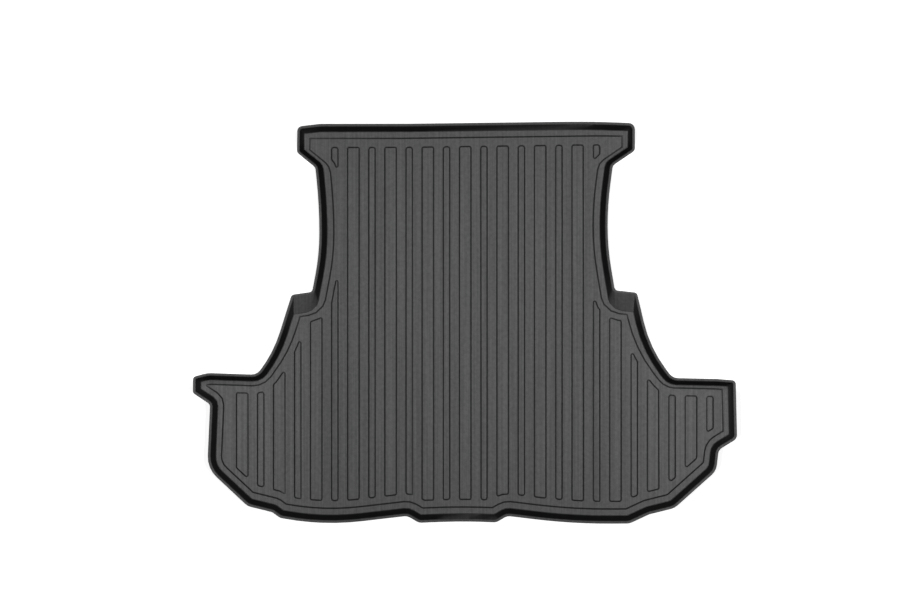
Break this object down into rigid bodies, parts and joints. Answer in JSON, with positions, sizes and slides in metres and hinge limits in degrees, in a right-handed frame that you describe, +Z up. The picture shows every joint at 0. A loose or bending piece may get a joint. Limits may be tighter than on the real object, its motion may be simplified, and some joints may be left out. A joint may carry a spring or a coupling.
{
  "type": "car boot liner",
  "caption": "Moulded rubber boot liner: a ribbed floor tray with a steep rim, cut in at both sides for the wheel arches and wider behind them.",
  "frame": {"origin": "middle of the liner's footprint, at the level of the underside that rests on the boot floor", "axes": "+X to the right across the car, the long way of the liner; +Y towards the seats, so the tailgate is at -Y; +Z up"},
  "size_m": [1.4148, 1.0455, 0.045],
  "materials": {
    "rubber": "matt black thermoplastic rubber with a fine leather-like grain on its upper face"
  },
  "bodies": {
    "root": {"liner": "rubber"}
  },
  "joints": []
}
